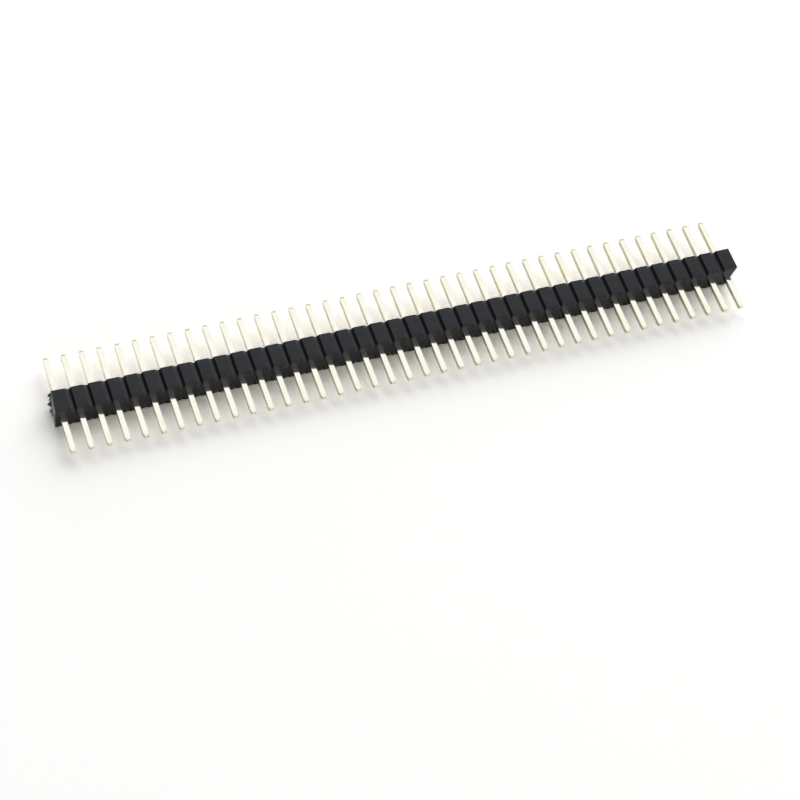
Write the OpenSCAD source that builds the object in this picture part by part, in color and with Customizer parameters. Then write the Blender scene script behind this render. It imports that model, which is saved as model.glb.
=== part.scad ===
// Single-row straight pin header strip, lying on the side of its insulator.
// X runs along the row, Y along the contacts, and Z is up.
// The origin is under the middle of the strip, on the surface that it lies on.

/* [Row] */
// Number of positions in the row
positions = 40; // [2:1:50]
// Distance from one contact to the next
pitch = 1.27; // [1.2:0.01:2.6]

/* [Insulator] */
// Thickness of the insulator along the contacts
body_thickness = 1.8; // [1:0.05:3]
// Width of the insulator across the row, which is its height as it lies
body_width = 1.85; // [1.4:0.05:3]
// Depth of each groove between two positions
groove_depth = 0.2; // [0.1:0.01:0.3]
// Width of the groove's steep wall, which faces the torn end
groove_wall = 0.18; // [0.14:0.02:0.3]
// Width of the groove's gentler flank, which faces the snapped end
groove_flank = 0.32; // [0.14:0.02:0.4]

/* [Contacts] */
// Side of the square contact wire
wire = 0.4; // [0.25:0.01:0.5]
// Length of contact that stands out on the board side
tail_length = 2.9; // [2:0.1:8]
// Length of contact that stands out on the mating side
mating_length = 3.3; // [2:0.1:8]
// Length of the chamfer at each end of a contact
chamfer_length = 0.2; // [0.1:0.05:0.6]
// How far the chamfer cuts in from each side of the wire
chamfer_depth = 0.05; // [0.02:0.01:0.1]
// How far each contact sits from midway between two grooves' deepest lines, towards the torn end
contact_shift = 0.19; // [0:0.01:0.2]
// Gap between a contact and each wall of its hole, 0 where it is a press fit
hole_gap = 0; // [0:0.005:0.03]

/* [Torn end] */
// How far the longest torn flake reaches past the last groove
tear_reach = 0.3; // [0.1:0.02:0.5]
// How far the tear bites into the last position, over its whole height
tear_bite = 0.04; // [0.02:0.01:0.12]
// Thickness of a torn flake at its root
flake_root = 0.16; // [0.08:0.02:0.24]

/* [Snapped end] */
// How far short of the end groove's deepest line the snapped face's top edge stops
snap_short = 0.12; // [0:0.02:0.16]
// How far the foot of the snapped face leans in from its top edge
snap_lean = 0.6; // [0:0.05:0.7]

/* [Hidden] */

row_length = positions * pitch;
pin_length = tail_length + body_thickness + mating_length;
// The strip was torn off at the deepest line of one end groove, and snapped near that of the other
torn_x = (tear_reach + snap_short - row_length) / 2;
snap_x = torn_x + row_length - snap_short;
mid_z = body_width / 2;
front_y = tail_length - pin_length / 2;
back_y = front_y + body_thickness;
hole = wire + 2 * hole_gap;
neck = body_width - 2 * groove_depth;
// Where the torn pieces are rooted, inside the last position
root_x = torn_x + groove_wall;

// Edge of the tear from above: each point is a share of the way across the
// thickness, and how far it stands out as a share of the flakes' reach
tear_plan = [[0, 0.2], [0.12, 0.35], [0.22, 0.2], [0.34, 0.55], [0.47, 0.4],
             [0.58, 0.7], [0.68, 0.3], [0.8, 0.45], [0.92, 0.15], [1, 0.3]];
// Edge of the tear from the front: a share of the neck's height, and of the reach
tear_side = [[0, 0.6], [0.1, 0.8], [0.2, 0.45], [0.32, 0.7], [0.45, 0.35],
             [0.6, 0.55], [0.72, 0.2], [0.86, 0.4], [1, 0.15]];
// Flakes: share of the thickness, share of the neck's height, share of the
// reach, and tilt of the flake about the row's axis
flakes = [[0.92, 0.2, 1, 60], [0.64, 0.1, 0.9, -15], [0.95, 0.86, 0.5, 20],
          [0.93, 0.56, 0.45, -35], [0.4, 0.22, 0.7, 75], [0.3, 0.6, 0.5, 10]];

function pin_name(k) = str("pin_", k < 10 ? "0" : "", k);
function pin_x(k) = torn_x + (k - 0.5) * pitch - contact_shift;

// Lifts a profile drawn in X and Z, and carries it through y0 to y1
module along_y(y0, y1) {
    translate([0, y1, 0]) rotate([90, 0, 0])
        linear_extrude(height = y1 - y0) children();
}

// Side outline of the strip, with a groove on each side between positions
module strip_outline() {
    groove = [[-groove_flank, 0], [0, groove_depth], [groove_wall, 0]];
    top_edge = [for (k = [1 : positions - 1], i = [0, 1, 2])
        [torn_x + k * pitch + groove[i][0], body_width - groove[i][1]]];
    foot_edge = [for (k = [positions - 1 : -1 : 1], i = [2, 1, 0])
        [torn_x + k * pitch + groove[i][0], groove[i][1]]];
    polygon(concat(
        [[torn_x + tear_bite, 0], [torn_x + tear_bite, body_width]],
        top_edge,
        [[snap_x, body_width], [snap_x - snap_lean, 0]],
        foot_edge
    ));
}

// Torn neck: two ragged outlines, one from above and one from the front, crossed
module torn_neck() {
    intersection() {
        linear_extrude(height = body_width) polygon(concat(
            [[root_x, front_y]],
            [for (p = tear_plan) [torn_x - p[1] * tear_reach, front_y + p[0] * body_thickness]],
            [[root_x, back_y]]
        ));
        along_y(front_y, back_y) polygon(concat(
            [[root_x, mid_z - neck / 2]],
            [for (p = tear_side) [torn_x - p[1] * tear_reach, mid_z + (p[0] - 0.5) * neck]],
            [[root_x, mid_z + neck / 2]]
        ));
    }
}

// One torn flake: a thin wedge that keeps its full width in the insulator and
// comes to a point outside it
module flake(across, up, reach, tilt) {
    tip_x = torn_x - reach * tear_reach;
    outline = [[root_x, -1], [torn_x, -1], [tip_x, 0], [torn_x, 1], [root_x, 1]];
    translate([0, front_y + across * body_thickness, mid_z + (up - 0.5) * neck])
        rotate([tilt, 0, 0]) intersection() {
            translate([0, 0, -flake_root]) linear_extrude(height = 2 * flake_root)
                polygon([for (p = outline) [p[0], p[1] * flake_root]]);
            along_y(-flake_root, flake_root)
                polygon([for (p = outline) [p[0], p[1] * flake_root / 2]]);
        }
}

// All the flakes, kept within the neck that they were torn from
module flakes_on_neck() {
    intersection() {
        for (f = flakes) flake(f[0], f[1], f[2], f[3]);
        along_y(front_y, back_y) polygon([
            [torn_x - tear_reach, mid_z - neck / 2], [torn_x, mid_z - neck / 2],
            [root_x, 0], [root_x, body_width],
            [torn_x, mid_z + neck / 2], [torn_x - tear_reach, mid_z + neck / 2]
        ]);
    }
}

// Insulator: one moulding for the whole row, with a square hole for each contact
module housing() {
    color([0.13, 0.14, 0.16]) difference() {
        union() {
            along_y(front_y, back_y) strip_outline();
            torn_neck();
            flakes_on_neck();
        }
        for (k = [1 : positions])
            translate([pin_x(k) - hole / 2, front_y - 1, mid_z - hole / 2])
                cube([hole, body_thickness + 2, hole]);
    }
}

// Contact: a cut length of square wire, with a small chamfer round both ends
module pin(k) {
    half = wire / 2;
    blunt = half - chamfer_depth;
    // Outline of one face of the contact: half its width at each place along it
    stations = [[blunt, 0], [half, chamfer_length],
                [half, pin_length - chamfer_length], [blunt, pin_length]];
    color([0.93, 0.89, 0.72]) translate([pin_x(k), -pin_length / 2, mid_z]) intersection() {
        translate([0, 0, -half]) linear_extrude(height = wire) contact_face(stations);
        translate([-half, 0, 0]) rotate([90, 0, 90]) linear_extrude(height = wire)
            mirror([1, -1]) contact_face(stations);
    }
}

// Draws the outline of a contact's face from its half widths, the same on both sides
module contact_face(stations) {
    polygon(concat(
        [for (s = stations) [s[0], s[1]]],
        [for (i = [len(stations) - 1 : -1 : 0]) [-stations[i][0], stations[i][1]]]
    ));
}

housing();
for (k = [1 : positions]) pin(k);
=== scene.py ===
"""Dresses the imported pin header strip: insulator, contacts, floor, light and camera.

The strip lies on the side of its insulator. X runs along the row, Y along the
contacts and Z is up. Lengths of the strip and of the camera are in millimetres,
and each mesh is turned into metres when it is made. The finishes, the lamps and
the table are in metres.
"""

import logging
import math
from dataclasses import dataclass, field
from enum import Enum

import bpy
import numpy as np
from mathutils import Matrix, Vector


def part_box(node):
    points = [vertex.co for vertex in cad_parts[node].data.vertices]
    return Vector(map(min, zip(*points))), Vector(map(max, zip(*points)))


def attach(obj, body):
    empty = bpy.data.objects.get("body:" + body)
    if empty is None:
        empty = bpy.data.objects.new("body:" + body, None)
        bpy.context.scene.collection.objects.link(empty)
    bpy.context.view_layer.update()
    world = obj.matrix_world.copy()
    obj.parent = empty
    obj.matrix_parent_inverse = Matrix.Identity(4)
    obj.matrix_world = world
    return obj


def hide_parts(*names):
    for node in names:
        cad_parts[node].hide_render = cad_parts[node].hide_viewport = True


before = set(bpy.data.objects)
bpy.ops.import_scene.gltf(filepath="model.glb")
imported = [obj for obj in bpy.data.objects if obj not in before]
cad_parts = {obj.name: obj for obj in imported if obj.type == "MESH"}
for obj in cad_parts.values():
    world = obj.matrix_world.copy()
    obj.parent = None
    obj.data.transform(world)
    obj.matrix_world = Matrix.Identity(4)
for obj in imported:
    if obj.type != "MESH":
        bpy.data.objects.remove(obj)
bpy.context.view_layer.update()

LOG = logging.getLogger("pin_header")
MM = 0.001
BODY = "root"

Colour = tuple[float, float, float]
Range = tuple[float, float]
Socket = bpy.types.NodeSocket

# Cells each way before the lattice noise repeats, and a shift that keeps their
# numbers positive
NOISE_CELLS = 64
NOISE_SHIFT = 1000.0
# The chords of the insulator's ring that cross the holes, counted from its start
NEAR_CHORD = 2
FAR_CHORD = 17
# Marks of points that lie on no groove
NO_GROOVE = {"wall": 0.0, "flank": 0.0}


# ---- Mesh helpers ----


def node_box(name: str) -> tuple[np.ndarray, np.ndarray]:
    """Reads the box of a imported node.

    Args:
        name: The node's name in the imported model.

    Returns:
        Its lowest and highest corners in millimetres.
    """
    low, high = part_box(name)
    return np.array(low, float) / MM, np.array(high, float) / MM


def lattice_noise(a: np.ndarray, b: np.ndarray, cell: float, seed: int) -> np.ndarray:
    """Smooth random relief over two coordinates.

    Random heights stand on a square lattice, and a point between four of them
    takes their mean, weighted by the smooth step 3t^2 - 2t^3 of its place.

    Args:
        a: First coordinate of every point.
        b: Second coordinate of every point.
        cell: Side of a lattice cell, in the same unit.
        seed: Picks one fixed set of heights.

    Returns:
        A height from -1 to 1 for every point.
    """
    heights = np.random.default_rng(seed).uniform(-1.0, 1.0, (NOISE_CELLS, NOISE_CELLS))
    u, v = a / cell + NOISE_SHIFT, b / cell + NOISE_SHIFT
    i, j = np.floor(u).astype(int), np.floor(v).astype(int)
    s, t = u - i, v - j
    s, t = s * s * (3 - 2 * s), t * t * (3 - 2 * t)
    i0, i1, j0, j1 = (place % NOISE_CELLS for place in (i, i + 1, j, j + 1))
    near = heights[i0, j0] * (1 - s) + heights[i1, j0] * s
    far = heights[i0, j1] * (1 - s) + heights[i1, j1] * s
    return near * (1 - t) + far * t


def ring_quads(numbers: np.ndarray) -> np.ndarray:
    """Makes the four-sided faces between rings that follow each other.

    Args:
        numbers: The number of each point, rings by points. A ring's last point
            joins its first.

    Returns:
        Faces, rings - 1 by points by 4 corner numbers.
    """
    beside = np.roll(numbers, -1, axis=1)
    return np.stack([numbers[:-1], numbers[1:], beside[1:], beside[:-1]], axis=-1)


@dataclass
class Skin:
    """Points, faces and named values of one mesh while it is put together."""

    points: list[np.ndarray] = field(default_factory=list)
    faces: list[np.ndarray] = field(default_factory=list)
    marks: dict[str, list[np.ndarray]] = field(default_factory=dict)
    count: int = 0

    def add_points(self, points: np.ndarray, **marks: np.ndarray | float) -> int:
        """Adds points and a value for each mark.

        Args:
            points: Any array whose last axis is x, y and z in millimetres.
            marks: For each named mark, values that spread over the points.

        Returns:
            The number of the first point added.
        """
        flat = points.reshape(-1, 3)
        first = self.count
        self.points.append(flat)
        for name, values in marks.items():
            full = np.broadcast_to(values, points.shape[:-1]).reshape(-1)
            self.marks.setdefault(name, []).append(full)
        self.count += len(flat)
        return first

    def add_rings(self, rings: np.ndarray, **marks: np.ndarray | float) -> np.ndarray:
        """Adds rings of points.

        Args:
            rings: Rings by points by x, y and z.
            marks: For each named mark, values that spread over the points.

        Returns:
            The number of each point, rings by points.
        """
        first = self.add_points(rings, **marks)
        shape = rings.shape[:2]
        return first + np.arange(math.prod(shape)).reshape(shape)

    def add_faces(self, corners: np.ndarray) -> None:
        """Adds faces that all have as many corners as the array's last axis."""
        self.faces.append(corners.reshape(-1, corners.shape[-1]))

    def add_cap(
        self, rim: np.ndarray, middle: np.ndarray, turned: bool, **marks: float
    ) -> None:
        """Closes a ring with triangles from each of its chords to its middle.

        Args:
            rim: Numbers of the ring's points.
            middle: The middle's x, y and z.
            turned: Whether the triangles run against the ring's own order.
            marks: The value of each named mark at the middle.
        """
        centre = self.add_points(middle[None], **marks)
        fan = np.stack([rim, np.roll(rim, -1), np.full_like(rim, centre)], axis=-1)
        self.add_faces(fan[:, ::-1] if turned else fan)

    def make_object(self, name: str, sharp_degrees: float) -> bpy.types.Object:
        """Builds the mesh and its object at the origin.

        Args:
            name: Name of the piece.
            sharp_degrees: Edges that bend more than this stay sharp.

        Returns:
            The new object, with its place in its mesh.
        """
        points = np.concatenate(self.points) * MM
        mesh = bpy.data.meshes.new(name)
        corners = [row for block in self.faces for row in block.tolist()]
        mesh.from_pydata(points.tolist(), [], corners)
        for mark, values in self.marks.items():
            store = mesh.attributes.new(mark, "FLOAT", "POINT")
            store.data.foreach_set("value", np.concatenate(values).astype(np.float32))
        mesh.polygons.foreach_set("use_smooth", np.ones(len(mesh.polygons), bool))
        mesh.set_sharp_from_angle(angle=math.radians(sharp_degrees))
        mesh.validate()
        mesh.update()
        piece = bpy.data.objects.new(name, mesh)
        bpy.context.scene.collection.objects.link(piece)
        return piece


# ---- Finishes ----


class Bsdf(Enum):
    """Sockets of the surface shader that the finishes set."""

    COLOUR = "Base Color"
    METAL = "Metallic"
    ROUGHNESS = "Roughness"
    SPECULAR = "Specular IOR Level"
    NORMAL = "Normal"


class Pair(Enum):
    """Ways to make one value out of two."""

    PRODUCT = "MULTIPLY"
    LARGER = "MAXIMUM"


@dataclass(frozen=True)
class Clouds:
    """Cloudy noise: cells in a metre, finer layers, and the span it is read over."""

    scale: float
    detail: float
    span: Range = (0.0, 1.0)


@dataclass
class NodeTree:
    """The nodes of a finish or of the world, with short ways to add and join them."""

    owner: bpy.types.Material | bpy.types.World

    def __post_init__(self) -> None:
        """Starts with no nodes."""
        self.owner.use_nodes = True
        self.owner.node_tree.nodes.clear()

    def add(self, kind: str, **settings: object) -> bpy.types.Node:
        """Adds a node.

        Args:
            kind: Blender's name for the type of node.
            settings: Properties to set on it.

        Returns:
            The new node.
        """
        node = self.owner.node_tree.nodes.new(kind)
        for key, value in settings.items():
            setattr(node, key, value)
        return node

    def join(self, source: Socket, target: Socket) -> None:
        """Joins an output to an input."""
        self.owner.node_tree.links.new(source, target)

    def show(self, shader: Socket) -> None:
        """Adds the output node and joins a shader to it.

        Args:
            shader: The shader that the finish or the world shows.
        """
        kind = "World" if isinstance(self.owner, bpy.types.World) else "Material"
        out = self.add(f"ShaderNodeOutput{kind}")
        self.join(shader, out.inputs["Surface"])

    def surface(self, metal: float, specular: float) -> bpy.types.Node:
        """Adds the surface shader and the output.

        Args:
            metal: 1 for metal, 0 for plastic.
            specular: Strength of the gloss of a surface that isn't metal.

        Returns:
            The shader node.
        """
        shader = self.add("ShaderNodeBsdfPrincipled")
        shader.inputs[Bsdf.METAL.value].default_value = metal
        shader.inputs[Bsdf.SPECULAR.value].default_value = specular
        self.show(shader.outputs["BSDF"])
        return shader

    def place(self, stretch: tuple[float, float, float] = (1.0, 1.0, 1.0)) -> Socket:
        """Gives the piece's own coordinates.

        Args:
            stretch: What each axis is multiplied by.

        Returns:
            The coordinates.
        """
        coords = self.add("ShaderNodeTexCoord")
        mapping = self.add("ShaderNodeMapping")
        mapping.inputs["Scale"].default_value = stretch
        self.join(coords.outputs["Object"], mapping.inputs["Vector"])
        return mapping.outputs["Vector"]

    def noise(self, place: Socket, clouds: Clouds) -> Socket:
        """Adds cloudy noise.

        Args:
            place: Coordinates to read.
            clouds: Its size and its finer layers.

        Returns:
            The noise value, from 0 to 1.
        """
        node = self.add("ShaderNodeTexNoise")
        node.inputs["Scale"].default_value = clouds.scale
        node.inputs["Detail"].default_value = clouds.detail
        self.join(place, node.inputs["Vector"])
        return node.outputs["Fac"]

    def mark(self, name: str) -> Socket:
        """Reads one of the piece's own marks."""
        node = self.add("ShaderNodeAttribute", attribute_name=name)
        return node.outputs["Fac"]

    def spread(self, value: Socket, given: Range, wanted: Range = (0.0, 1.0)) -> Socket:
        """Stretches a value from one range to another, and clamps it.

        Args:
            value: The value to stretch.
            given: Its lowest and highest.
            wanted: What those become.

        Returns:
            The stretched value.
        """
        node = self.add("ShaderNodeMapRange")
        names = ("From Min", "From Max", "To Min", "To Max")
        for name, number in zip(names, (*given, *wanted)):
            node.inputs[name].default_value = number
        self.join(value, node.inputs["Value"])
        return node.outputs["Result"]

    def pair(self, way: Pair, a: Socket, b: Socket) -> Socket:
        """Makes one value out of two.

        Args:
            way: What is done with them.
            a: The first value.
            b: The second value.

        Returns:
            The new value.
        """
        node = self.add("ShaderNodeMath", operation=way.value)
        self.join(a, node.inputs[0])
        self.join(b, node.inputs[1])
        return node.outputs[0]

    def blend(
        self, amount: Socket, low: Colour | Socket, high: Colour | Socket
    ) -> Socket:
        """Blends two colours.

        Args:
            amount: 0 gives the first colour, 1 the second.
            low: First colour, or an output that carries it.
            high: Second colour, or an output that carries it.

        Returns:
            The blended colour.
        """
        node = self.add("ShaderNodeMix", data_type="RGBA")
        self.join(amount, node.inputs["Factor"])
        for colour, socket in ((low, node.inputs[6]), (high, node.inputs[7])):
            if isinstance(colour, tuple):
                socket.default_value = (*colour, 1.0)
            else:
                self.join(colour, socket)
        return node.outputs[2]

    def bump(self, height: Socket, depth: float) -> Socket:
        """Turns a height into a tilt of the surface.

        Args:
            height: Height from 0 to 1.
            depth: What 1 stands for, in metres.

        Returns:
            The tilted normal.
        """
        node = self.add("ShaderNodeBump")
        node.inputs["Distance"].default_value = depth
        self.join(height, node.inputs["Height"])
        return node.outputs["Normal"]


@dataclass(frozen=True)
class MouldedPlastic:
    """Black moulded insulator plastic, paler where it tore, with painted light in its
    grooves.

    The grooves' flanks get a painted highlight for the light from the right, and their
    steep walls a painted shade and a lower gloss. Wear, fibres, sheen and pits are
    noises of their own sizes.
    """

    name: str = "black_moulded_plastic"
    colour: Colour = (0.0065, 0.0078, 0.0110)
    worn: Colour = (0.0140, 0.0155, 0.0195)
    flank_highlight: Colour = (0.0400, 0.0420, 0.0480)
    shaded: Colour = (0.0045, 0.0050, 0.0065)
    stretched: Colour = (0.40, 0.45, 0.41)
    specular: float = 0.34
    wall_specular: float = 0.07
    gloss: Range = (0.34, 0.46)
    wear: Clouds = Clouds(900.0, 4.0, (0.35, 0.75))
    fibres: Clouds = Clouds(14000.0, 4.0, (0.3, 0.6))
    fibre_cover: Range = (0.35, 1.0)
    sheen: Clouds = Clouds(2400.0, 3.0, (0.3, 0.7))
    pits: Clouds = Clouds(22000.0, 2.0)
    pit_depth: float = 0.0000016

    def make(self) -> bpy.types.Material:
        """Builds the finish: clouded black, painted groove shade and highlight, tear
        marks and mould grain.

        Returns:
            The material.
        """
        tree = NodeTree(bpy.data.materials.new(self.name))
        shader = tree.surface(metal=0.0, specular=self.specular)
        place = tree.place()
        wear = tree.spread(tree.noise(place, self.wear), self.wear.span)
        tone = tree.blend(wear, self.colour, self.worn)
        # Painted highlight on the grooves' flanks, standing for the light from the right
        tone = tree.blend(tree.mark("flank"), tone, self.flank_highlight)
        # Painted shade on the grooves' steep walls and in a faint line along the flanks'
        # upper edges
        tone = tree.blend(tree.mark("wall"), tone, self.shaded)
        fibres = tree.noise(place, self.fibres)
        fibres = tree.spread(fibres, self.fibres.span, self.fibre_cover)
        pale = tree.pair(Pair.PRODUCT, tree.mark("stretched"), fibres)
        tone = tree.blend(pale, tone, self.stretched)
        tree.join(tone, shader.inputs[Bsdf.COLOUR.value])
        # The walls' gloss is lowered along with their painted shade
        levels = (self.specular, self.wall_specular)
        level = tree.spread(tree.mark("wall"), (0.0, 1.0), levels)
        tree.join(level, shader.inputs[Bsdf.SPECULAR.value])
        sheen = tree.spread(tree.noise(place, self.sheen), self.sheen.span, self.gloss)
        tree.join(sheen, shader.inputs[Bsdf.ROUGHNESS.value])
        pits = tree.bump(tree.noise(place, self.pits), self.pit_depth)
        tree.join(pits, shader.inputs[Bsdf.NORMAL.value])
        return tree.owner


@dataclass(frozen=True)
class FlashedWire:
    """Drawn square wire under a thin pale gold flash, with painted shade on its sides.

    The sides' darker colour is a painted reflection of the shaded table beside them.
    The cut ends are duller, and the far ends darker still as painted shade. The
    drawing lines are a fine noise that the stretch draws out along the wire.
    """

    name: str = "gold_flashed_wire"
    colour: Colour = (0.975, 0.96, 0.86)
    rich: Colour = (0.955, 0.92, 0.76)
    side: Colour = (0.42, 0.38, 0.26)
    cut: Colour = (0.36, 0.32, 0.20)
    specular: float = 0.5
    gloss: Range = (0.08, 0.15)
    stretch: tuple[float, float, float] = (1.0, 0.035, 1.0)
    lines: Clouds = Clouds(26000.0, 3.0, (0.25, 0.75))
    line_depth: float = 0.0000009
    patches: Clouds = Clouds(1100.0, 3.0, (0.42, 0.72))

    def make(self) -> bpy.types.Material:
        """Builds the finish: drawing lines, richer patches and tips, painted side shade,
        dull ends.

        Returns:
            The material.
        """
        tree = NodeTree(bpy.data.materials.new(self.name))
        shader = tree.surface(metal=1.0, specular=self.specular)
        drawn = tree.place(self.stretch)
        place = tree.place()
        lines = tree.noise(drawn, self.lines)
        patches = tree.spread(tree.noise(place, self.patches), self.patches.span)
        tone = tree.blend(patches, self.colour, self.rich)
        tone = tree.blend(tree.mark("tip"), tone, self.rich)
        # Painted shade on both sides of the wire, for the reflection of the shaded table
        # between contacts
        tone = tree.blend(tree.mark("side"), tone, self.side)
        # Dull raw metal at the cut ends, and at the far ends also painted shade for the
        # chamfers' dark reflections
        tone = tree.blend(tree.mark("cut"), tone, self.cut)
        tree.join(tone, shader.inputs[Bsdf.COLOUR.value])
        dull = tree.spread(lines, self.lines.span, self.gloss)
        tree.join(dull, shader.inputs[Bsdf.ROUGHNESS.value])
        tree.join(tree.bump(lines, self.line_depth), shader.inputs[Bsdf.NORMAL.value])
        return tree.owner


@dataclass(frozen=True)
class WhiteTable:
    """Matt white table top that keeps the strip's soft shadow.

    The strip is lit by a plain pale table. To the eye and in reflections its
    colour is past white, so that it stays plain white round a deep shadow.
    """

    name: str = "white_table"
    colour: Colour = (0.84, 0.84, 0.84)
    seen: Colour = (1.80, 1.79, 1.77)
    lift: float = 0.01

    def make(self) -> bpy.types.Material:
        """Builds the finish: matt, and far paler to the eye than to the strip.

        Returns:
            The material.
        """
        tree = NodeTree(bpy.data.materials.new(self.name))
        rays = tree.add("ShaderNodeLightPath").outputs
        looked = tree.pair(Pair.LARGER, rays["Is Camera Ray"], rays["Is Glossy Ray"])
        tone = tree.blend(looked, self.colour, self.seen)
        matt = tree.add("ShaderNodeBsdfDiffuse")
        tree.join(tone, matt.inputs["Color"])
        glow = tree.add("ShaderNodeEmission")
        lift = tree.spread(looked, (0.0, 1.0), (0.0, self.lift))
        tree.join(lift, glow.inputs["Strength"])
        both = tree.add("ShaderNodeAddShader")
        tree.join(matt.outputs["BSDF"], both.inputs[0])
        tree.join(glow.outputs["Emission"], both.inputs[1])
        tree.show(both.outputs["Shader"])
        return tree.owner


# ---- Insulator ----


@dataclass(frozen=True)
class Flake:
    """One torn flake: where it is rooted, how far it stands out, and its tilt.

    Across and up are shares of the thickness and of the neck's height, reach is
    a share of the tear's reach, and tilt is in degrees about the row.
    """

    across: float
    up: float
    reach: float
    tilt: float


@dataclass(frozen=True)
class Grain:
    """One layer of a broken face: its height, its lattice cell and its seed."""

    height: float
    cell: float
    seed: int

    def at(self, y: np.ndarray, z: np.ndarray) -> np.ndarray:
        """Height of the layer at each point."""
        return self.height * lattice_noise(y, z, self.cell, self.seed)


def rule_rows(
    y: np.ndarray, fixed: np.ndarray | float, top: float, foot: float
) -> np.ndarray:
    """Puts together the rules of some points of the insulator's ring.

    Args:
        y: Places across the thickness.
        fixed: The part of the height that no groove changes.
        top: Share of the groove-cut top.
        foot: Share of the groove-cut foot.

    Returns:
        A row of the four for each point.
    """
    return np.stack(np.broadcast_arrays(y, fixed, top, foot), axis=1)


@dataclass
class Insulator:
    """The moulded insulator, from its torn end to its snapped end."""

    contacts: int
    pitch: float = 1.27
    hole: float = 0.406
    edge_radius: float = 0.035
    # Grooves: the sides' widths, and the rounding of the root and of the lips.
    # Those in the foot are a share as deep, and the steps place the rings
    groove_depth: float = 0.2
    groove_wall: float = 0.18
    groove_flank: float = 0.32
    groove_root: float = 0.06
    groove_lip: float = 0.004
    foot_share: float = 0.5
    groove_steps: tuple[float, ...] = (
        0, 0.04, 0.1, 0.4, 0.75, 0.81, 0.9, 0.95, 1.0, 1.05, 1.12,
    )
    # Tear: how far it reaches past the last groove and bites into the last
    # position, where the break lies at the near and the far face, and its grain
    tear_reach: float = 0.3
    tear_bite: float = 0.04
    tear_near: float = 0.13
    tear_far: float = -0.03
    tear_spare: float = 0.002
    tear_sink: float = 0.02
    tear_calm: float = 0.5
    tear_fade: float = 0.06
    tear_grain: tuple[Grain, ...] = (
        Grain(0.030, 0.30, 11),
        Grain(0.026, 0.11, 5),
        Grain(0.012, 0.05, 23),
    )
    tear_steps: tuple[float, ...] = (0.12, 0.3, 0.5, 0.7, 0.85, 1.0)
    tear_rings: int = 34
    # Flakes: their root's half width is the two numbers' product
    flake_root: float = 0.21
    flake_spread: float = 1.15
    flake_thinness: float = 2.0
    flakes: tuple[Flake, ...] = (
        Flake(0.92, 0.20, 1.00, 60),
        Flake(0.64, 0.10, 0.90, -15),
        Flake(0.95, 0.86, 0.85, 20),
        Flake(0.93, 0.56, 0.65, -35),
        Flake(0.40, 0.22, 0.70, 75),
        Flake(0.30, 0.60, 0.50, 10),
    )
    # Snapped end: its lean, its rings before and on the face, and its look
    snap_lean: float = 0.6
    snap_steps: tuple[float, ...] = (0.3, 0.08, 0.02, 0.0)
    snap_rings: int = 8
    snap_grain: Grain = Grain(1.0, 0.22, 3)
    snap_relief: float = 0.008
    snap_pale: float = 0.10
    # Chords of the torn end's rings for one of the rest, and the gap between
    # the first hole, the seam where they meet, and the next ring
    fineness: int = 6
    seam_gap: float = 0.08
    finish: MouldedPlastic = MouldedPlastic()

    def __post_init__(self) -> None:
        """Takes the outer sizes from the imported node, and sets out the ring."""
        low, high = node_box("housing")
        self.front, self.back = float(low[1]), float(high[1])
        self.height = float(high[2])
        self.snap_x = float(high[0])
        self.torn_x = float(low[0]) + self.tear_reach
        first, last = node_box("pin_01")
        self.mid_z = float(first[2] + last[2]) / 2
        boxes = [node_box(f"pin_{k:02d}") for k in range(1, self.contacts + 1)]
        self.hole_x = np.array([(a[0] + b[0]) / 2 for a, b in boxes])
        self.ring_rules = self.set_out_ring()

    def set_out_ring(self) -> np.ndarray:
        """Sets out one cross-section as rules that hold anywhere along the row.

        Each point has a place across the thickness, and a height made of a fixed
        part, a share of the groove-cut top and a share of the groove-cut foot.
        The ring runs up the near face, over the top, down the far face and back
        under the foot, with a quarter round of three chords at each corner.

        Returns:
            A row of y, fixed height, share of the top and share of the foot for
            each of the 30 points.
        """
        r = self.edge_radius
        turn = np.radians([30.0, 60.0])
        low_z, high_z = self.mid_z - self.hole / 2, self.mid_z + self.hole / 2
        foot, top = np.array([r, 0, 1]), np.array([-r, 1, 0])
        lower, upper = np.array([low_z, 0, 0]), np.array([high_z, 0, 0])
        climb = [foot, (foot + lower) / 2, lower, upper, (upper + top) / 2, top]
        cut, drop = r * (1 - np.sin(turn)), r * (1 - np.cos(turn))
        across = np.linspace(self.front + r, self.back - r, 5)
        return np.concatenate(
            [
                np.array([[self.front, *p] for p in climb]),
                rule_rows(self.front + drop, -cut, 1, 0),
                rule_rows(across, 0, 1, 0),
                rule_rows(self.back - cut, -drop, 1, 0),
                np.array([[self.back, *p] for p in climb[::-1]]),
                rule_rows(self.back - drop, cut, 0, 1),
                rule_rows(across[::-1], 0, 0, 1),
                rule_rows(self.front + cut, drop, 0, 1),
            ]
        )

    def fine_rules(self) -> np.ndarray:
        """Sets out the same ring with each chord parted evenly, for the torn end.

        Returns:
            Rules as the coarse ring has them, for each point of the fine one.
        """
        share = np.arange(self.fineness)[None, :, None] / self.fineness
        here, after = self.ring_rules[:, None], np.roll(self.ring_rules, -1, axis=0)
        parted = here * (1 - share) + after[:, None] * share
        return parted.reshape(-1, 4)

    def from_groove(self, x: np.ndarray) -> np.ndarray:
        """Measures how far each place is from its nearest groove's deepest line.

        Args:
            x: Places along the row.

        Returns:
            The distances, above nought on the steep wall's side.
        """
        count = np.clip(np.round((x - self.torn_x) / self.pitch), 1, self.contacts - 1)
        return x - self.torn_x - count * self.pitch

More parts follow.
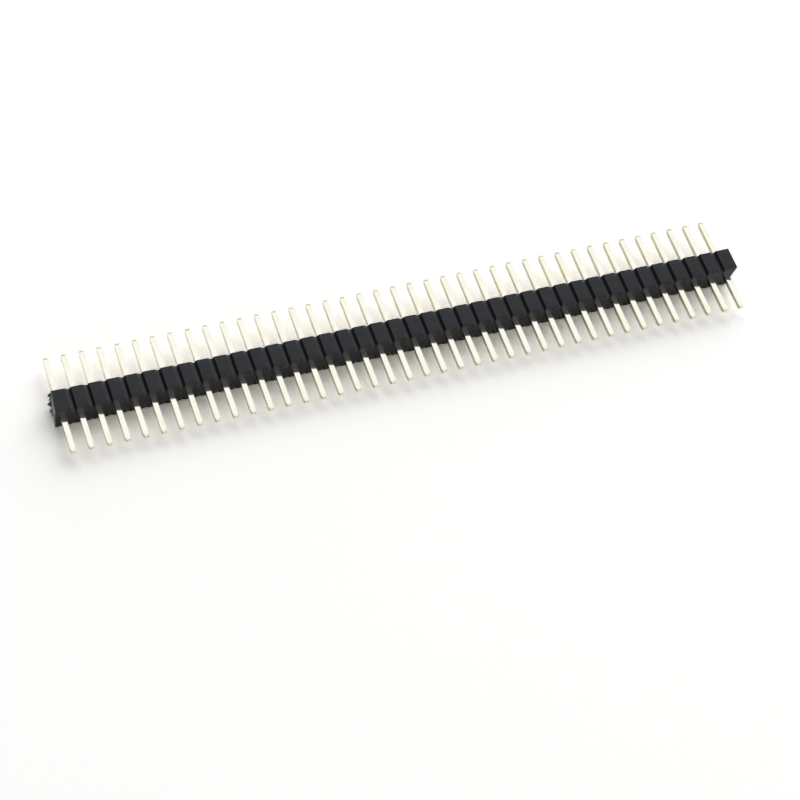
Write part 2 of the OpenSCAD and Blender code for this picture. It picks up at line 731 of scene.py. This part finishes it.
    def depth_at(self, x: np.ndarray) -> np.ndarray:
        """Depth of the grooves at each place along the row.

        The depth falls in a straight line with the distance from the groove's
        deepest line: fast up the steep wall towards the snapped end, and slowly
        up the gentler flank towards the torn end. The root is rounded by taking
        the square root of that share squared plus a small square, and the lips
        by the soft step log(1 + exp(t)). There is none at either end.

        Args:
            x: Places along the row.

        Returns:
            The depth at each place.
        """
        away = self.from_groove(x)
        share = away / np.where(away > 0, self.groove_wall, self.groove_flank)
        slope = 1 - np.sqrt(share**2 + self.groove_root**2)
        lip = self.groove_lip
        return lip * np.logaddexp(0.0, self.groove_depth * slope / lip)

    def groove_marks(self, x: np.ndarray) -> dict[str, np.ndarray]:
        """Marks where each groove gets its painted shade and its painted highlight.

        The steep wall and a faint line along the flank's upper edge get painted shade
        and a lower gloss, and the rest of the flank gets a painted highlight. Each mark
        rises and falls in a straight line at its edges.

        Args:
            x: Places along the row.

        Returns:
            The strength of each mark at each place.
        """
        away = self.from_groove(x)
        wall_edge, flank_edge, root_edge = 0.02, 0.12, 0.04
        # A faint painted shade line along the flank's upper edge, for a dark gap in its
        # reflection
        shade_line_strength, shade_line_width = 0.5, 0.03
        shade_line_at, flank_from = -0.9 * self.groove_flank, -0.95 * self.groove_flank
        wall = np.clip(away / wall_edge, 0, 1)
        wall = wall * np.clip((self.groove_wall - away) / wall_edge, 0, 1)
        line = shade_line_strength * np.clip(1 - np.abs(away - shade_line_at) / shade_line_width, 0, 1)
        flank = np.clip((away - flank_from) / flank_edge, 0, 1)
        flank = flank * np.clip(0.5 - away / root_edge, 0, 1)
        return {"wall": np.maximum(wall, line), "flank": flank}

    def stations(self) -> np.ndarray:
        """Sets out the coarse rings, from inside the first position to the far end.

        Returns:
            Their places along the row, sorted.
        """
        steps = np.array(self.groove_steps)
        flank, wall = -self.groove_flank * steps[:0:-1], self.groove_wall * steps
        groove = np.concatenate([flank, wall])
        middles = self.torn_x + self.pitch * np.arange(1, self.contacts)
        grooves = (middles[:, None] + groove[None, :]).ravel()
        half = self.hole / 2
        holes = np.stack([self.hole_x - half, self.hole_x + half], axis=1).ravel()
        start = [self.seam_x() + self.seam_gap]
        last = self.snap_x - np.array(self.snap_steps)
        places = np.concatenate([grooves, holes[2:], start, last])
        return self.thin_out(np.unique(np.round(places, 5)), holes)

    def seam_x(self) -> float:
        """Where the fine rings of the torn end hand over to the coarse ones."""
        return float(self.hole_x[0] + self.hole / 2) + self.seam_gap

    @staticmethod
    def thin_out(places: np.ndarray, keep: np.ndarray) -> np.ndarray:
        """Drops places that crowd one that has to stay.

        Args:
            places: Sorted places along the row.
            keep: Places of the holes' walls, which always stay.

        Returns:
            The places left.
        """
        same, crowded = 2e-5, 0.006
        gap = np.abs(places[:, None] - keep[None, :]).min(axis=1)
        return places[(gap < same) | (gap > crowded)]

    def lean(self, x: np.ndarray, z: np.ndarray) -> np.ndarray:
        """Leans the snapped end in towards its foot.

        The face leans evenly from top to foot, and what lies before it follows
        in proportion: from the hole's wall at the hole's own height, and from
        just before the hole above and below it, so that the hole stays square.

        Args:
            x: Places before leaning.
            z: Heights, which broadcast against them.

        Returns:
            The leaned places.
        """
        hair, clear = 1e-6, 0.05
        half = self.hole / 2 + hair
        beside = np.abs(z - self.mid_z) <= half
        start = np.where(
            beside, self.hole_x[-1] + half, self.hole_x[-1] - half - clear
        )
        share = np.clip((x - start) / (self.snap_x - start), 0, 1)
        return x - share * self.snap_lean * (1 - z / self.height)

    def rings(self, x: np.ndarray, rules: np.ndarray) -> np.ndarray:
        """Works out rings of points from their places and rules.

        A point's height is its fixed part, plus its share of the top less the
        depth there, plus its share of the foot groove's depth.

        Args:
            x: A place for each ring, or for each ring and point.
            rules: The ring's rules.

        Returns:
            Points, rings by points by x, y and z.
        """
        x = x if x.ndim == 2 else np.repeat(x[:, None], len(rules), axis=1)
        depth = self.depth_at(x)
        z = (
            rules[:, 1]
            + rules[:, 2] * (self.height - depth)
            + rules[:, 3] * depth * self.foot_share
        )
        y = np.broadcast_to(rules[:, 0], x.shape)
        return np.stack([self.lean(x, z), y, z], axis=-1)

    def relief(self, y: np.ndarray, z: np.ndarray) -> np.ndarray:
        """How far the torn face stands out past the tear's own line.

        Three layers of lattice noise give a brittle, granular break. Each flake
        adds a thin four-sided peak, which falls in a straight line from its
        reach at its root's middle to the bite at its edge, with the larger of
        its two shares of that way. Both fade out at the neck's top and foot.
        The break itself runs askew, in a straight line from where it lies at
        the near face to where it lies at the far one, and the face is the
        outermost of these.

        Args:
            y: Places across the thickness.
            z: Heights.

        Returns:
            The reach of the surface at each point.
        """
        neck = self.height - 2 * self.groove_depth
        thick = self.back - self.front
        rough = sum(grain.at(y, z) for grain in self.tear_grain) - self.tear_sink
        root = self.flake_spread * self.flake_root
        peaks = np.full(np.shape(y), -self.tear_bite)
        for flake in self.flakes:
            turn = math.radians(flake.tilt)
            dy = y - (self.front + flake.across * thick)
            dz = z - (self.mid_z + (flake.up - 0.5) * neck)
            along = dy * math.cos(turn) + dz * math.sin(turn)
            over = dz * math.cos(turn) - dy * math.sin(turn)
            away = np.maximum(np.abs(along), self.flake_thinness * np.abs(over)) / root
            reach = flake.reach * self.tear_reach
            peaks = np.maximum(peaks, reach - (reach + self.tear_bite) * away)
        limit = self.tear_reach - self.tear_spare
        torn = np.minimum(np.maximum(peaks, rough), limit)
        inside = np.clip((neck / 2 - np.abs(z - self.mid_z)) / self.tear_fade, 0, 1)
        back_share = np.clip((y - self.front) / thick, 0, 1)
        broken = self.tear_near + (self.tear_far - self.tear_near) * back_share
        broken = broken + self.tear_calm * rough
        out = np.maximum(torn * inside - self.tear_bite * (1 - inside), broken)
        return np.minimum(out, limit)

    def add_walls(
        self, skin: Skin, rings: np.ndarray, numbers: np.ndarray, step: int
    ) -> None:
        """Adds the faces between rings, and a square hole for each contact there.

        The faces inside a hole's rim on the near and far side are left out, and
        the two rims are joined by the hole's four walls. A hole that these
        rings don't pass is left to the other end's.

        Args:
            skin: The mesh being put together.
            rings: Rings by points by x, y and z.
            numbers: The number of each point.
            step: How many chords stand for one chord of the coarse ring.
        """
        quads = ring_quads(numbers)
        keep = np.ones(quads.shape[:2], bool)
        rise = NEAR_CHORD * step + np.arange(step + 1)
        fall = (FAR_CHORD + 1) * step - np.arange(step + 1)
        flat_x = rings[:, rise[0], 0]
        half, slack = self.hole / 2, 1e-3
        for middle in self.hole_x:
            left = int(np.argmin(np.abs(flat_x - (middle - half))))
            right = int(np.argmin(np.abs(flat_x - (middle + half))))
            if abs(flat_x[left] - (middle - half)) > slack or left == right:
                continue
            keep[left:right, rise[:-1]] = False
            keep[left:right, fall[1:]] = False
            run = np.arange(left, right + 1)
            for a, b in (
                (numbers[run, rise[0]], numbers[run, fall[0]]),
                (numbers[right, rise], numbers[right, fall]),
                (numbers[run[::-1], rise[-1]], numbers[run[::-1], fall[-1]]),
                (numbers[left, rise[::-1]], numbers[left, fall[::-1]]),
            ):
                skin.add_faces(np.stack([a[1:], b[1:], b[:-1], a[:-1]], axis=-1))
        skin.add_faces(quads[keep])

    def add_torn_end(self, skin: Skin, seam: np.ndarray) -> None:
        """Adds the first position up to its tear, and the torn face.

        Fine rings run from the seam to the edge of the tear, whose place differs
        for each point. The face is made of rings that shrink evenly to its
        middle, each point standing out by the relief at its own place. It is
        palest near the near face, and its tips and the walls behind it less so.

        Args:
            skin: The mesh being put together.
            seam: Numbers of the coarse ring that this end is joined to.
        """
        pale_length, pale_wall, pale_middle = 0.10, 0.4, 0.6
        pale_far, pale_rise, tip_dark = 0.10, 1.2, 0.8
        rules = self.fine_rules()
        root, root_gap = self.torn_x + self.groove_wall, 0.004
        half = self.hole / 2
        shown = np.array(
            [self.seam_x(), self.hole_x[0] + half, self.hole_x[0] - half, root]
        )
        edge = self.rings(np.full((1, len(rules)), self.torn_x), rules)[0]
        mid = np.array([(self.front + self.back) / 2, self.mid_z])
        torn = self.torn_x - self.relief(edge[:, 1], edge[:, 2])
        share = np.array(self.tear_steps)[:, None]
        flank = (root - root_gap) * (1 - share) + torn[None, :] * share
        places = np.concatenate([np.repeat(shown[:, None], len(rules), axis=1), flank])
        wall = self.rings(places[::-1], rules)
        to_tear = np.clip(1 - (places[::-1] - torn[None, :]) / pale_length, 0, 1)
        numbers = skin.add_rings(wall, stretched=pale_wall * to_tear**2, **NO_GROOVE)
        self.add_walls(skin, wall, numbers, self.fineness)
        self.add_seam(skin, numbers[-1], seam)

        shrink = 1 - (np.arange(1, self.tear_rings) / self.tear_rings)[:, None]
        y = mid[0] + (edge[None, :, 1] - mid[0]) * shrink
        z = mid[1] + (edge[None, :, 2] - mid[1]) * shrink
        x = self.torn_x - self.relief(y, z)
        face = np.stack([x, y, z], axis=-1)
        near_share = (self.back - y) / (self.back - self.front)
        tip = np.clip((self.torn_x - x - self.tear_near) / pale_length, 0, 1)
        pale = np.clip(pale_far + pale_rise * near_share, 0, 1) * (1 - tip_dark * tip)
        rows = skin.add_rings(face[::-1], stretched=pale[::-1], **NO_GROOVE)
        skin.add_faces(ring_quads(np.concatenate([rows, numbers[:1]])))
        peak = np.array([self.torn_x - float(self.relief(mid[:1], mid[1:])[0]), *mid])
        skin.add_cap(rows[0], peak, False, stretched=pale_middle, **NO_GROOVE)

    def add_seam(self, skin: Skin, fine: np.ndarray, coarse: np.ndarray) -> None:
        """Joins a fine ring to a coarse one with one many-sided face a chord.

        Args:
            skin: The mesh being put together.
            fine: Numbers of the fine ring's points.
            coarse: Numbers of the coarse ring's points.
        """
        step = self.fineness
        chords = np.arange(len(coarse))
        along = np.arange(step, -1, -1)
        runs = fine[(chords[:, None] * step + along[None, :]) % len(fine)]
        ends = np.stack([coarse, np.roll(coarse, -1)], axis=1)
        skin.add_faces(np.concatenate([ends, runs], axis=1))

    def add_snapped_end(self, skin: Skin, rings: np.ndarray, rim: np.ndarray) -> None:
        """Closes the far end with a slanted, faintly uneven face.

        Rings shrink evenly from the rim to the face's middle. Each point starts
        on the leaning plane, and the noise sinks it by up to twice the relief.

        Args:
            skin: The mesh being put together.
            rings: The last ring's points.
            rim: Their numbers.
        """
        mid = rings.mean(axis=0)
        shrink = 1 - (np.arange(1, self.snap_rings) / self.snap_rings)[:, None, None]
        face = mid + (rings[None] - mid) * shrink
        uneven = self.snap_grain.at(face[..., 1], face[..., 2])
        face[..., 0] += self.snap_relief * (uneven - 1)
        rows = skin.add_rings(face, stretched=self.snap_pale, **NO_GROOVE)
        skin.add_faces(ring_quads(np.concatenate([rim[None], rows])))
        skin.add_cap(rows[-1], mid, True, stretched=self.snap_pale, **NO_GROOVE)

    def build(self) -> bpy.types.Object:
        """Builds and dresses the insulator.

        Returns:
            The finished piece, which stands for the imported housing.
        """
        skin = Skin()
        stations = self.stations()
        rings = self.rings(stations, self.ring_rules)
        # The groove marks carry the walls' painted shade and the flanks' painted
        # highlight
        # Points on the top and the foot take the whole mark, those between less
        cut_share = self.ring_rules[None, :, 2:].sum(axis=-1)
        marks = {
            name: values[:, None] * cut_share
            for name, values in self.groove_marks(stations).items()
        }
        numbers = skin.add_rings(rings, stretched=0.0, **marks)
        self.add_walls(skin, rings, numbers, 1)
        self.add_torn_end(skin, numbers[0])
        self.add_snapped_end(skin, rings[-1], numbers[-1])
        piece = skin.make_object("insulator", sharp_degrees=24.0)
        piece.data.materials.append(self.finish.make())
        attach(piece, BODY)
        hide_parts("housing")
        return piece


# ---- Contacts ----


@dataclass
class Contact:
    """One contact: a cut length of square wire with a short chamfer at each end."""

    number: int
    finish: bpy.types.Material
    corner: float = 0.022
    chamfer_length: float = 0.2
    chamfer_depth: float = 0.05
    end_round: float = 0.010
    # Softening of the cut face's edge and of the chamfer's wide end
    face_rise: float = 0.004
    wide_drop: float = 0.005
    wide_span: Range = (0.93, 1.08)
    # Differences between contacts
    seed: int = 500
    chamfer_range: Range = (0.85, 1.15)
    short_range: Range = (0.0, 0.02)
    # Plain length: its rings and their gap to the ends
    inner_rings: int = 5
    inner_gap: float = 0.6
    # Marks: length of the richer tips, and of the cut ends' dull rims; the far rim is
    # also painted shade
    tip_length: float = 0.55
    near_rim: float = 0.02
    near_strength: float = 0.18
    far_rim: float = 0.08

    @staticmethod
    def directions() -> tuple[np.ndarray, np.ndarray]:
        """Directions of the section's 16 points, and of their own corners."""
        corner, chord = np.divmod(np.arange(16), 4)
        return np.radians(corner * 90.0 + chord * 30.0), np.radians(corner * 90.0 + 45.0)

    def section(self, half: float) -> np.ndarray:
        """Sets out the wire's section: a square with quarter-round corners.

        Each point lies one corner radius from its corner's centre, and that
        centre lies on the square's diagonal.

        Args:
            half: Half the wire's width.

        Returns:
            The 16 points of the section as x and z.
        """
        turn, diagonal = self.directions()
        flat = (half - self.corner) * math.sqrt(2)
        x = flat * np.cos(diagonal) + self.corner * np.cos(turn)
        z = flat * np.sin(diagonal) + self.corner * np.sin(turn)
        return np.stack([x, z], axis=1)

    def tip(self, half: float, chamfer: float) -> tuple[np.ndarray, np.ndarray]:
        """Sets out one tip as distances in from its end, and the size there.

        The first size is the edge of the cut face. A quarter round leads from
        there to the chamfer, which widens in a straight line to the full wire.

        Args:
            half: Half the wire's width.
            chamfer: Length of this tip's chamfer.

        Returns:
            Distances from the end, and the section's size there as a share.
        """
        turn = np.radians([0.0, 30.0, 60.0, 90.0])
        blunt = half - self.chamfer_depth
        into = self.end_round * (1 - np.cos(turn))
        size = blunt - self.end_round * (1 - np.sin(turn))
        wide = [chamfer * share for share in self.wide_span]
        into = np.concatenate([[0.0], into, wide])
        size = np.concatenate(
            [[size[0] - self.face_rise], size, [half - self.wide_drop, half]]
        )
        return into, size / half

    def build(self) -> bpy.types.Object:
        """Builds and dresses the contact.

        Returns:
            The finished piece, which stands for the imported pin.
        """
        node = f"pin_{self.number:02d}"
        low, high = node_box(node)
        middle, half = (low + high) / 2, float(high[0] - low[0]) / 2
        random = np.random.default_rng(self.seed + self.number)
        chamfers = self.chamfer_length * random.uniform(*self.chamfer_range, 2)
        short = random.uniform(*self.short_range, 2)
        near_in, near_size = self.tip(half, float(chamfers[0]))
        far_in, far_size = self.tip(half, float(chamfers[1]))
        inside = np.linspace(
            low[1] + self.inner_gap, high[1] - self.inner_gap, self.inner_rings
        )
        y = np.concatenate(
            [low[1] + short[0] + near_in, inside, (high[1] - short[1] - far_in)[::-1]]
        )
        size = np.concatenate([near_size, np.ones(len(inside)), far_size[::-1]])
        section = self.section(half)
        x = middle[0] + size[:, None] * section[None, :, 0]
        z = middle[2] + size[:, None] * section[None, :, 1]
        rings = np.stack([x, np.broadcast_to(y[:, None], x.shape), z], axis=-1)
        to_end = np.minimum(y - low[1], high[1] - y)
        tip = np.clip(1 - to_end / self.tip_length, 0, 1)[:, None]
        near_cut = self.near_strength * np.clip(1 - (y - y[0]) / self.near_rim, 0, 1)
        # The far rim is dull raw metal and also painted shade for the far chamfers' dark
        # reflections
        far_cut_and_shade = np.clip(1 - (y[-1] - y) / self.far_rim, 0, 1)
        cut = np.maximum(near_cut, far_cut_and_shade)[:, None]
        # Both sides of the wire, where the finish paints shade for the reflected shaded
        # table
        side = np.cos(self.directions()[0])[None, :] ** 2
        skin = Skin()
        numbers = skin.add_rings(rings, tip=tip, cut=cut, side=side)
        # Starting at the far corner sets how each face is split in two
        skin.add_faces(np.roll(ring_quads(numbers), -1, axis=-1))
        for end, turned in ((0, False), (-1, True)):
            hub = np.array([middle[0], y[end], middle[2]])
            end_cut = float(cut[end, 0])
            skin.add_cap(numbers[end], hub, turned, tip=1.0, cut=end_cut, side=0.0)
        piece = skin.make_object(f"contact_{self.number:02d}", sharp_degrees=50.0)
        piece.data.materials.append(self.finish)
        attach(piece, BODY)
        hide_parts(node)
        return piece


@dataclass
class ContactRow:
    """All the contacts of the strip, in one finish."""

    count: int
    finish: FlashedWire = FlashedWire()

    def build(self) -> list[bpy.types.Object]:
        """Builds every contact, from the torn end to the snapped end."""
        wire = self.finish.make()
        return [Contact(k, wire).build() for k in range(1, self.count + 1)]


# ---- Studio ----


@dataclass(frozen=True)
class SoftBox:
    """A large soft lamp that points at the strip, and that reflections don't show."""

    name: str
    towards: tuple[float, float, float]
    distance: float
    side: float
    radiance: float
    colour: Colour = (1.0, 1.0, 1.0)

    def build(self) -> bpy.types.Object:
        """Hangs the lamp.

        An even lamp's power is its radiance times pi times its area.

        Returns:
            The lamp's object.
        """
        lamp = bpy.data.lights.new(self.name, "AREA")
        lamp.shape = "SQUARE"
        lamp.size = self.side
        lamp.energy = self.radiance * math.pi * self.side**2
        lamp.color = self.colour
        holder = bpy.data.objects.new(self.name, lamp)
        bpy.context.scene.collection.objects.link(holder)
        way = Vector(self.towards).normalized()
        holder.location = way * self.distance
        holder.rotation_euler = way.to_track_quat("Z", "Y").to_euler()
        holder.visible_camera = False
        holder.visible_glossy = False
        return holder


@dataclass(frozen=True)
class Viewpoint:
    """The camera: what it aims at, from where, and how it is held.

    The aim and the distance are in millimetres from the strip's origin, the
    angles are in degrees, and the clip is in metres.
    """

    aim: tuple[float, float, float] = (-1.614, -4.907, 0.017)
    azimuth: float = 26.094
    elevation: float = 54.523
    roll: float = 9.390
    distance: float = 179.99
    lens: float = 115.78
    sensor: float = 36.0
    clip: Range = (0.005, 20.0)

    def build(self) -> bpy.types.Object:
        """Sets up the camera and makes it the scene's own.

        It stands back from the aim along the direction that the azimuth and the
        elevation give, looks along it with its top level, and then rolls.

        Returns:
            The camera's object.
        """
        camera = bpy.data.cameras.new("camera")
        camera.lens = self.lens
        camera.sensor_width = self.sensor
        camera.clip_start, camera.clip_end = self.clip
        holder = bpy.data.objects.new("camera", camera)
        bpy.context.scene.collection.objects.link(holder)
        turn, rise = math.radians(self.azimuth), math.radians(self.elevation)
        back = Vector(
            (
                -math.sin(turn) * math.cos(rise),
                -math.cos(turn) * math.cos(rise),
                math.sin(rise),
            )
        )
        level = back.to_track_quat("Z", "Y").to_matrix()
        held = level @ Matrix.Rotation(math.radians(self.roll), 3, "Z")
        holder.matrix_world = Matrix.Translation(
            Vector(self.aim) * MM + back * self.distance * MM
        ) @ held.to_4x4()
        bpy.context.scene.camera = holder
        return holder


@dataclass
class Studio:
    """The white table, the soft lamps, the pale surround and the camera."""

    table_side: float = 3.0
    surround: Colour = (0.12, 0.12, 0.122)
    backdrop: Colour = (1.0, 1.0, 1.0)
    lamps: tuple[SoftBox, ...] = (
        SoftBox("window_light", (0.46, 0.66, 0.59), 0.9, side=1.35, radiance=1.62),
        SoftBox("front_light", (-0.15, -0.90, 0.40), 0.9, side=1.0, radiance=0.42),
    )
    viewpoint: Viewpoint = Viewpoint()
    table: WhiteTable = WhiteTable()

    def build_table(self) -> bpy.types.Object:
        """Lays the table top under the strip.

        Returns:
            The table's object, which isn't part of the strip.
        """
        half = self.table_side / 2
        mesh = bpy.data.meshes.new("table")
        corners = [(-half, -half, 0), (half, -half, 0), (half, half, 0), (-half, half, 0)]
        mesh.from_pydata(corners, [], [(0, 1, 2, 3)])
        table = bpy.data.objects.new("table", mesh)
        bpy.context.scene.collection.objects.link(table)
        mesh.materials.append(self.table.make())
        return table

    def build_surround(self) -> None:
        """Sets the world: dim soft light all round that is seen as plain white."""
        world = bpy.data.worlds.new("surround")
        bpy.context.scene.world = world
        tree = NodeTree(world)
        rays = tree.add("ShaderNodeLightPath").outputs
        seen = tree.pair(Pair.LARGER, rays["Is Camera Ray"], rays["Is Glossy Ray"])
        seen = tree.pair(Pair.LARGER, seen, rays["Is Transmission Ray"])
        tone = tree.blend(seen, self.surround, self.backdrop)
        glow = tree.add("ShaderNodeBackground")
        tree.join(tone, glow.inputs["Color"])
        tree.show(glow.outputs["Background"])

    def build(self) -> None:
        """Builds the whole studio and sets how colours are shown."""
        bpy.context.scene.view_settings.view_transform = "Standard"
        self.viewpoint.build()
        self.build_table()
        self.build_surround()
        for lamp in self.lamps:
            lamp.build()


def main() -> None:
    """Builds the studio, the insulator and the contacts, and reports each piece."""
    logging.basicConfig(level=logging.INFO, format="%(name)s: %(message)s")
    count = sum(name.startswith("pin_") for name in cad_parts)
    Studio().build()
    pieces = [Insulator(count).build(), *ContactRow(count).build()]
    for piece in pieces:
        LOG.info("%s has %d faces", piece.name, len(piece.data.polygons))


if __name__ == "__main__":
    main()
